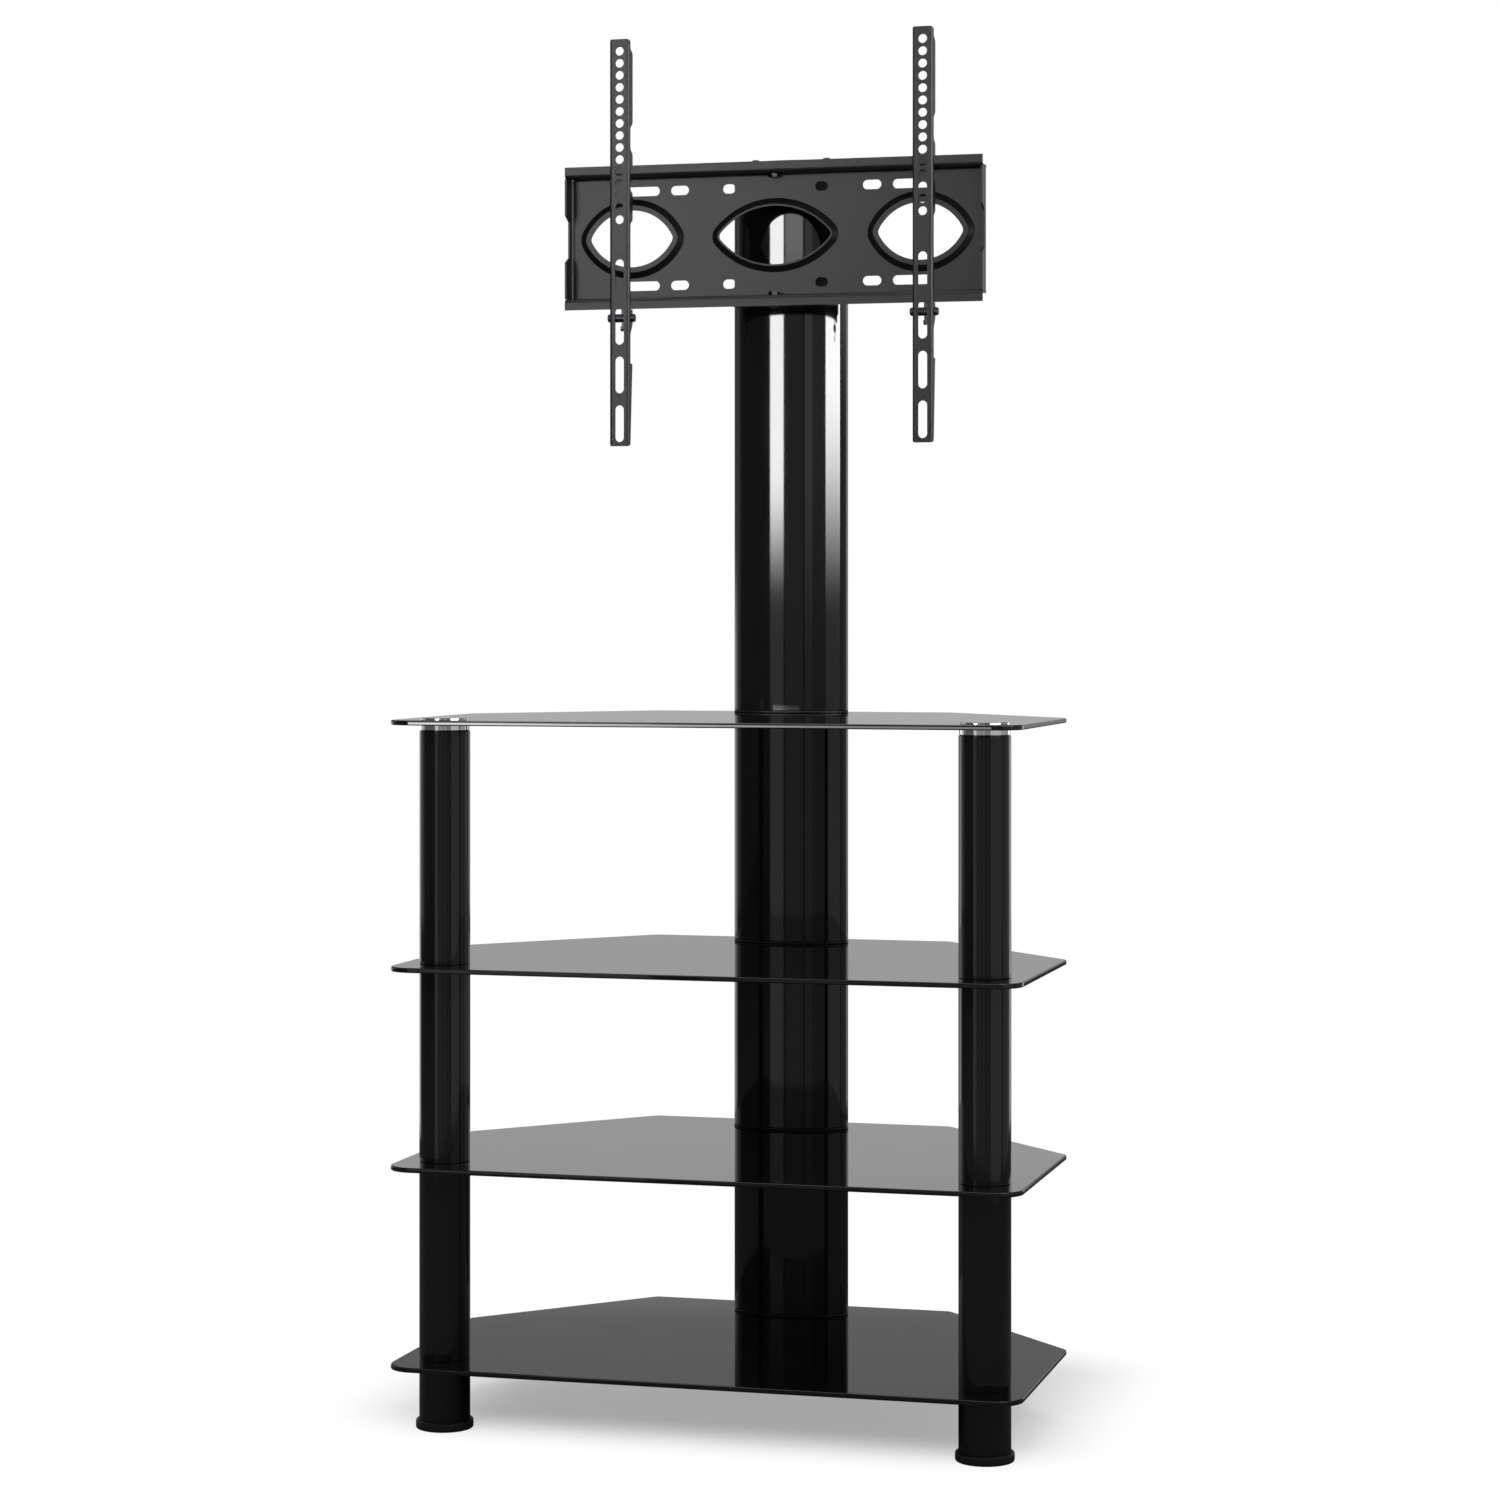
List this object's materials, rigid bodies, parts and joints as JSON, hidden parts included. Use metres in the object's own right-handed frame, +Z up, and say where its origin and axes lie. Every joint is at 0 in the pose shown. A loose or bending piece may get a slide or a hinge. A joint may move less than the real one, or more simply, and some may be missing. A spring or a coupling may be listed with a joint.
{
  "type": "tv stand with mount",
  "caption": "Floor-standing television stand: black glass shelves on round front legs and an oval rear pillar, with a swivelling wall plate and hooked television rails at the top.",
  "frame": {"origin": "middle of the footprint of the stand at floor level", "axes": "+Z up, the front of the stand and of the television faces -Y, +X to the right seen from the front"},
  "size_m": [0.6374, 0.4256, 1.4173],
  "materials": {
    "black_glass": "black tempered glass with polished edges",
    "gloss_black": "gloss black enamel on steel tube",
    "powder_coat": "matte black powder coat on pressed steel",
    "chrome": "bright chrome plate",
    "black_plastic": "satin moulded plastic",
    "zinc_steel": "dark zinc plated steel",
    "black_screw": "black oxide steel",
    "nylon": "natural nylon"
  },
  "bodies": {
    "stand": {"shelf_bottom": "black_glass", "shelf_lower": "black_glass", "shelf_upper": "black_glass", "shelf_top": "black_glass", "leg_foot_cap_left": "black_plastic", "leg_foot_tube_left": "gloss_black", "leg_lower_tube_left": "gloss_black", "leg_middle_tube_left": "gloss_black", "leg_upper_tube_left": "gloss_black", "leg_collar_left": "chrome", "leg_disc_left": "chrome", "leg_tie_rod_left": "zinc_steel", "leg_foot_cap_right": "black_plastic", "leg_foot_tube_right": "gloss_black", "leg_lower_tube_right": "gloss_black", "leg_middle_tube_right": "gloss_black", "leg_upper_tube_right": "gloss_black", "leg_collar_right": "chrome", "leg_disc_right": "chrome", "leg_tie_rod_right": "zinc_steel", "pillar_foot_cap": "black_plastic", "pillar_foot_section": "gloss_black", "pillar_seat_ring_lower": "black_plastic", "pillar_lower_section": "gloss_black", "pillar_seat_ring_middle": "black_plastic", "pillar_middle_section": "gloss_black", "pillar_seat_ring_upper": "black_plastic", "pillar_upper_section": "gloss_black", "pillar_seat_ring_pole": "black_plastic", "pillar_pole": "gloss_black", "pillar_top_cap": "black_plastic", "pillar_tie_rod_left": "zinc_steel", "pillar_rod_nut_left": "zinc_steel", "pillar_cap_screw_left": "black_screw", "pillar_tie_rod_right": "zinc_steel", "pillar_rod_nut_right": "zinc_steel", "pillar_cap_screw_right": "black_screw", "swivel_arm_upper": "powder_coat", "saddle_bolt_upper_left": "black_screw", "saddle_bolt_upper_right": "black_screw", "pivot_bolt_upper": "black_screw", "pivot_nut_upper": "black_screw", "pivot_washer_upper": "nylon", "swivel_arm_lower": "powder_coat", "saddle_bolt_lower_left": "black_screw", "saddle_bolt_lower_right": "black_screw", "pivot_bolt_lower": "black_screw", "pivot_nut_lower": "black_screw", "pivot_washer_lower": "nylon"},
    "wall_plate": {"wall_plate": "powder_coat"},
    "rail_left": {"rail_left": "powder_coat", "latch_pin_left": "zinc_steel", "latch_spring_left": "zinc_steel"},
    "latch_pawl_left": {"latch_pawl_left": "zinc_steel"},
    "rail_right": {"rail_right": "powder_coat", "latch_pin_right": "zinc_steel", "latch_spring_right": "zinc_steel"},
    "latch_pawl_right": {"latch_pawl_right": "zinc_steel"}
  },
  "joints": [
    {"name": "plate_swivel", "type": "hinge", "parent": "stand", "child": "wall_plate", "pos_m": [0, 0.0905, 1.209], "axis": [0, 0, 1], "range_deg": [-30, 30]},
    {"name": "rail_slide_left", "type": "slide", "parent": "wall_plate", "child": "rail_left", "axis": [1, 0, 0], "range_m": [-0.037, 0.113]},
    {"name": "latch_left", "type": "hinge", "parent": "rail_left", "child": "latch_pawl_left", "pos_m": [-0.16312, 0.0825, 1.12425], "axis": [-1, 0, 0], "range_deg": [0, 45], "stiffness_Nm_per_rad": 0.02, "springref_deg": -20.05},
    {"name": "rail_slide_right", "type": "slide", "parent": "wall_plate", "child": "rail_right", "axis": [-1, 0, 0], "range_m": [-0.037, 0.113]},
    {"name": "latch_right", "type": "hinge", "parent": "rail_right", "child": "latch_pawl_right", "pos_m": [0.16312, 0.0825, 1.12425], "axis": [-1, 0, 0], "range_deg": [0, 45], "stiffness_Nm_per_rad": 0.02, "springref_deg": -20.05}
  ]
}
